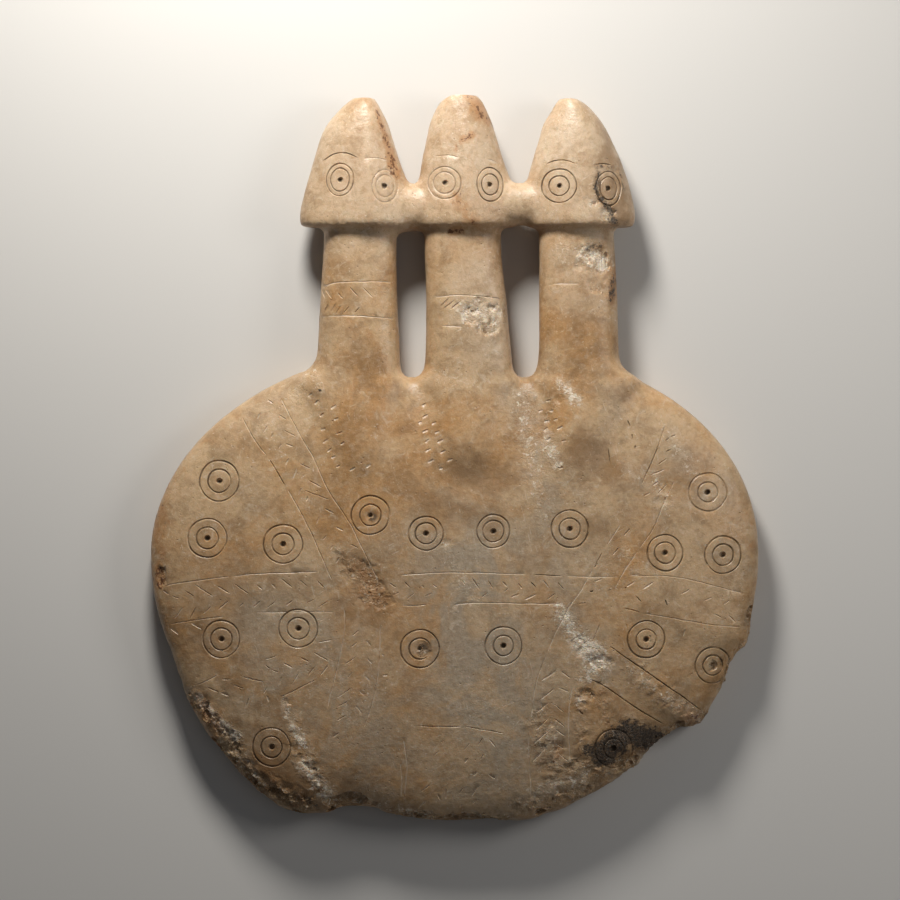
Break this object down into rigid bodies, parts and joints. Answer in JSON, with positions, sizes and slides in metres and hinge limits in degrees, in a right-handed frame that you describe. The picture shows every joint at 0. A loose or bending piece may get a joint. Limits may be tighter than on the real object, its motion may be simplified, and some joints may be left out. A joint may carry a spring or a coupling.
{
  "type": "disc-shaped idol",
  "caption": "Stone idol with a round flat body, long necks and tapering heads joined by small bridges, carved with ring-and-dot marks.",
  "frame": {"origin": "under the middle of the whole figure, on the surface it lies on, at the flat back", "axes": "+Y runs from the disc up to the heads, +Z out of the carved front, +X to the viewer's right when the carved front is seen with the heads at the top"},
  "size_m": [0.201, 0.2398, 0.0235],
  "materials": {
    "alabaster": "polished and worn honey-grey translucent stone, with white crystalline breaks, brown stains and dark crust at the broken edge"
  },
  "bodies": {
    "root": {"idol": "alabaster"}
  },
  "joints": []
}
